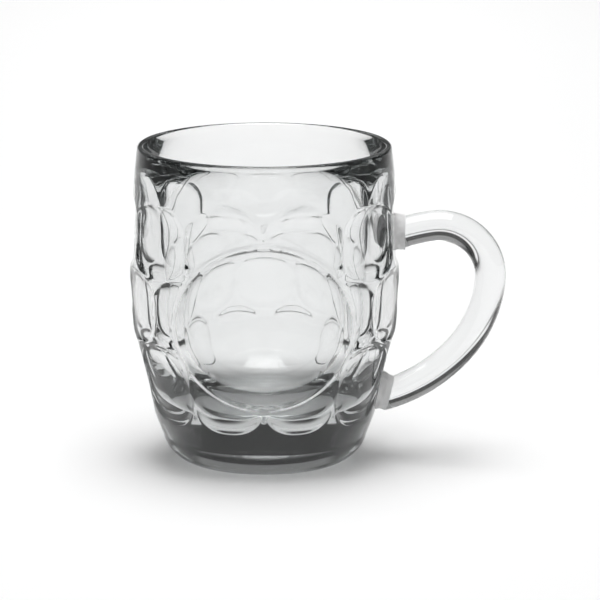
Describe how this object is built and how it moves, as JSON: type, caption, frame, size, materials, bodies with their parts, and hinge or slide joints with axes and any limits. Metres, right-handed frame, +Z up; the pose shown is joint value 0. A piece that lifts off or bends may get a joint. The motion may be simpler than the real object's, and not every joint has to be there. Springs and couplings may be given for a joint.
{
  "type": "dimpled glass beer mug",
  "caption": "Small pressed-glass beer mug: barrel body with rows of round dimples, a large round panel at the front, a heavy base and a stuck-on loop handle.",
  "frame": {"origin": "on the barrel's axis, in the flat face that the mug stands on", "axes": "+Z up along the barrel's axis, +X towards the handle, the large round panel faces -Y"},
  "size_m": [0.1132, 0.0806, 0.096],
  "materials": {
    "clear_glass": "clear pressed glass, fire-polished",
    "handle_glass": "clear pressed glass, fire-polished"
  },
  "bodies": {
    "root": {"mug_body": "clear_glass", "handle": "handle_glass"}
  },
  "joints": []
}
